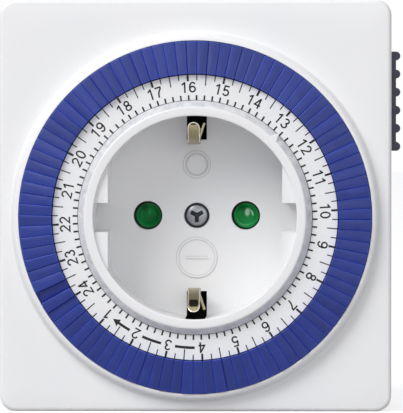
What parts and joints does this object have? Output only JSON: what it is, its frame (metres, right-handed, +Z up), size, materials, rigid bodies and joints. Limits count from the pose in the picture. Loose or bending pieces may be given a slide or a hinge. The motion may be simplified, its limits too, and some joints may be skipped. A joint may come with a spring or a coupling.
{
  "type": "plug-in timer switch",
  "caption": "Plug-in mechanical timer switch: a turning day dial ringed by press-down segments round a recessed earthed socket, with a two-pin plug behind.",
  "frame": {"origin": "centre of the plug's pin face, midway between its two pins, on the dial's axis", "axes": "+Z up, -Y out of the front towards the viewer, +Y along the plug's pins into the wall, +X to the right as seen from the front"},
  "size_m": [0.0771, 0.0694, 0.079],
  "materials": {
    "case_white": "fine satin moulding",
    "dial_white": "smooth white, printed",
    "segment_blue": "satin blue moulding",
    "slider_navy": "satin navy moulding",
    "shutter_green": "translucent green moulding",
    "carrier_grey": "matte dark grey moulding",
    "gear_white": "natural acetal",
    "rotor_black": "bonded ferrite",
    "coil_copper": "lacquered copper wire",
    "pin_nickel": "nickel plated brass",
    "contact_brass": "stamped brass",
    "earth_steel": "nickel plated spring strip",
    "screw_steel": "zinc plated steel",
    "spring_steel": "spring steel",
    "plate_steel": "pressed sheet steel"
  },
  "bodies": {
    "case": {"front_cover": "case_white", "rear_housing": "case_white", "housing_screws": "screw_steel", "socket_well": "case_white", "centre_screw": "screw_steel", "contact_carrier": "carrier_grey", "neutral_contact_sleeve": "contact_brass", "load_contact_sleeve": "contact_brass", "line_contact_strip": "contact_brass", "load_contact_strip": "contact_brass", "plug_pin_neutral": "pin_nickel", "plug_pin_line": "pin_nickel", "earth_bracket": "earth_steel", "motor_case": "plate_steel", "motor_coil": "coil_copper", "gear_plate": "plate_steel", "gear_axles": "spring_steel", "lever_axle": "spring_steel", "detent_spring": "spring_steel", "lever_spring": "spring_steel", "shutter_spring": "spring_steel"},
    "dial": {"dial_plate": "dial_white", "segment_carrier": "carrier_grey"},
    "hour_01": {"segments_hour_01": "segment_blue"},
    "hour_02": {"segments_hour_02": "segment_blue"},
    "hour_03": {"segments_hour_03": "segment_blue"},
    "hour_04": {"segments_hour_04": "segment_blue"},
    "hour_05": {"segments_hour_05": "segment_blue"},
    "hour_06": {"segments_hour_06": "segment_blue"},
    "hour_07": {"segments_hour_07": "segment_blue"},
    "hour_08": {"segments_hour_08": "segment_blue"},
    "hour_09": {"segments_hour_09": "segment_blue"},
    "hour_10": {"segments_hour_10": "segment_blue"},
    "hour_11": {"segments_hour_11": "segment_blue"},
    "hour_12": {"segments_hour_12": "segment_blue"},
    "hour_13": {"segments_hour_13": "segment_blue"},
    "hour_14": {"segments_hour_14": "segment_blue"},
    "hour_15": {"segments_hour_15": "segment_blue"},
    "hour_16": {"segments_hour_16": "segment_blue"},
    "hour_17": {"segments_hour_17": "segment_blue"},
    "hour_18": {"segments_hour_18": "segment_blue"},
    "hour_19": {"segments_hour_19": "segment_blue"},
    "hour_20": {"segments_hour_20": "segment_blue"},
    "hour_21": {"segments_hour_21": "segment_blue"},
    "hour_22": {"segments_hour_22": "segment_blue"},
    "hour_23": {"segments_hour_23": "segment_blue"},
    "hour_24": {"segments_hour_24": "segment_blue"},
    "drive_pinion": {"drive_pinion": "gear_white", "clutch_washer": "spring_steel"},
    "clutch_wheel": {"clutch_wheel": "gear_white"},
    "intermediate_wheel": {"intermediate_wheel": "gear_white"},
    "rotor": {"rotor": "rotor_black"},
    "switch_lever": {"switch_lever": "gear_white", "contact_bridge": "contact_brass"},
    "override_slider": {"override_slider": "slider_navy"},
    "shutter": {"shutter": "shutter_green"}
  },
  "joints": [
    {"name": "dial_turn", "type": "hinge", "parent": "case", "child": "dial", "pos_m": [0, -0.0342, 0], "axis": [0, 1, 0], "continuous": true},
    {"name": "hour_01_press", "type": "slide", "parent": "dial", "child": "hour_01", "axis": [0, 1, 0], "range_m": [0, 0.0025]},
    {"name": "hour_02_press", "type": "slide", "parent": "dial", "child": "hour_02", "axis": [0, 1, 0], "range_m": [0, 0.0025]},
    {"name": "hour_03_press", "type": "slide", "parent": "dial", "child": "hour_03", "axis": [0, 1, 0], "range_m": [0, 0.0025]},
    {"name": "hour_04_press", "type": "slide", "parent": "dial", "child": "hour_04", "axis": [0, 1, 0], "range_m": [0, 0.0025]},
    {"name": "hour_05_press", "type": "slide", "parent": "dial", "child": "hour_05", "axis": [0, 1, 0], "range_m": [0, 0.0025]},
    {"name": "hour_06_press", "type": "slide", "parent": "dial", "child": "hour_06", "axis": [0, 1, 0], "range_m": [0, 0.0025]},
    {"name": "hour_07_press", "type": "slide", "parent": "dial", "child": "hour_07", "axis": [0, 1, 0], "range_m": [0, 0.0025]},
    {"name": "hour_08_press", "type": "slide", "parent": "dial", "child": "hour_08", "axis": [0, 1, 0], "range_m": [0, 0.0025]},
    {"name": "hour_09_press", "type": "slide", "parent": "dial", "child": "hour_09", "axis": [0, 1, 0], "range_m": [0, 0.0025]},
    {"name": "hour_10_press", "type": "slide", "parent": "dial", "child": "hour_10", "axis": [0, 1, 0], "range_m": [0, 0.0025]},
    {"name": "hour_11_press", "type": "slide", "parent": "dial", "child": "hour_11", "axis": [0, 1, 0], "range_m": [0, 0.0025]},
    {"name": "hour_12_press", "type": "slide", "parent": "dial", "child": "hour_12", "axis": [0, 1, 0], "range_m": [0, 0.0025]},
    {"name": "hour_13_press", "type": "slide", "parent": "dial", "child": "hour_13", "axis": [0, 1, 0], "range_m": [0, 0.0025]},
    {"name": "hour_14_press", "type": "slide", "parent": "dial", "child": "hour_14", "axis": [0, 1, 0], "range_m": [0, 0.0025]},
    {"name": "hour_15_press", "type": "slide", "parent": "dial", "child": "hour_15", "axis": [0, 1, 0], "range_m": [0, 0.0025]},
    {"name": "hour_16_press", "type": "slide", "parent": "dial", "child": "hour_16", "axis": [0, 1, 0], "range_m": [0, 0.0025]},
    {"name": "hour_17_press", "type": "slide", "parent": "dial", "child": "hour_17", "axis": [0, 1, 0], "range_m": [0, 0.0025]},
    {"name": "hour_18_press", "type": "slide", "parent": "dial", "child": "hour_18", "axis": [0, 1, 0], "range_m": [0, 0.0025]},
    {"name": "hour_19_press", "type": "slide", "parent": "dial", "child": "hour_19", "axis": [0, 1, 0], "range_m": [0, 0.0025]},
    {"name": "hour_20_press", "type": "slide", "parent": "dial", "child": "hour_20", "axis": [0, 1, 0], "range_m": [0, 0.0025]},
    {"name": "hour_21_press", "type": "slide", "parent": "dial", "child": "hour_21", "axis": [0, 1, 0], "range_m": [0, 0.0025]},
    {"name": "hour_22_press", "type": "slide", "parent": "dial", "child": "hour_22", "axis": [0, 1, 0], "range_m": [0, 0.0025]},
    {"name": "hour_23_press", "type": "slide", "parent": "dial", "child": "hour_23", "axis": [0, 1, 0], "range_m": [0, 0.0025]},
    {"name": "hour_24_press", "type": "slide", "parent": "dial", "child": "hour_24", "axis": [0, 1, 0], "range_m": [0, 0.0025]},
    {"name": "drive_pinion_turn", "type": "hinge", "parent": "case", "child": "drive_pinion", "pos_m": [-0.00585, -0.0342, 0.02728], "axis": [0, 1, 0], "continuous": true},
    {"name": "rotor_turn", "type": "hinge", "parent": "case", "child": "rotor", "pos_m": [-0.02253, -0.0308, 0.02531], "axis": [0, 1, 0], "continuous": true},
    {"name": "clutch_wheel_turn", "type": "hinge", "parent": "case", "child": "clutch_wheel", "pos_m": [-0.00585, -0.0324, 0.02728], "axis": [0, 1, 0], "continuous": true},
    {"name": "intermediate_wheel_turn", "type": "hinge", "parent": "case", "child": "intermediate_wheel", "pos_m": [-0.01422, -0.0308, 0.02876], "axis": [0, 1, 0], "continuous": true},
    {"name": "lever_swing", "type": "hinge", "parent": "case", "child": "switch_lever", "pos_m": [0.02938, -0.028, -0.0065], "axis": [-1, 0, 0], "range_deg": [0, 6.5], "stiffness_Nm_per_rad": 0.03, "springref_deg": -11.46, "deforming": ["lever_spring"]},
    {"name": "override_slide", "type": "slide", "parent": "case", "child": "override_slider", "axis": [0, 0, 1], "range_m": [-0.004, 0]},
    {"name": "shutter_turn", "type": "hinge", "parent": "case", "child": "shutter", "pos_m": [0, -0.0282, 0], "axis": [0, -1, 0], "range_deg": [0, 40], "stiffness_Nm_per_rad": 0.01, "springref_deg": -17.19, "deforming": ["shutter_spring"]}
  ],
  "couplings": [
    {"joint": "drive_pinion_turn", "follows": "dial_turn", "ratio": -6.75},
    {"joint": "intermediate_wheel_turn", "follows": "rotor_turn", "ratio": -0.5},
    {"joint": "clutch_wheel_turn", "follows": "rotor_turn", "ratio": 0.27273}
  ]
}
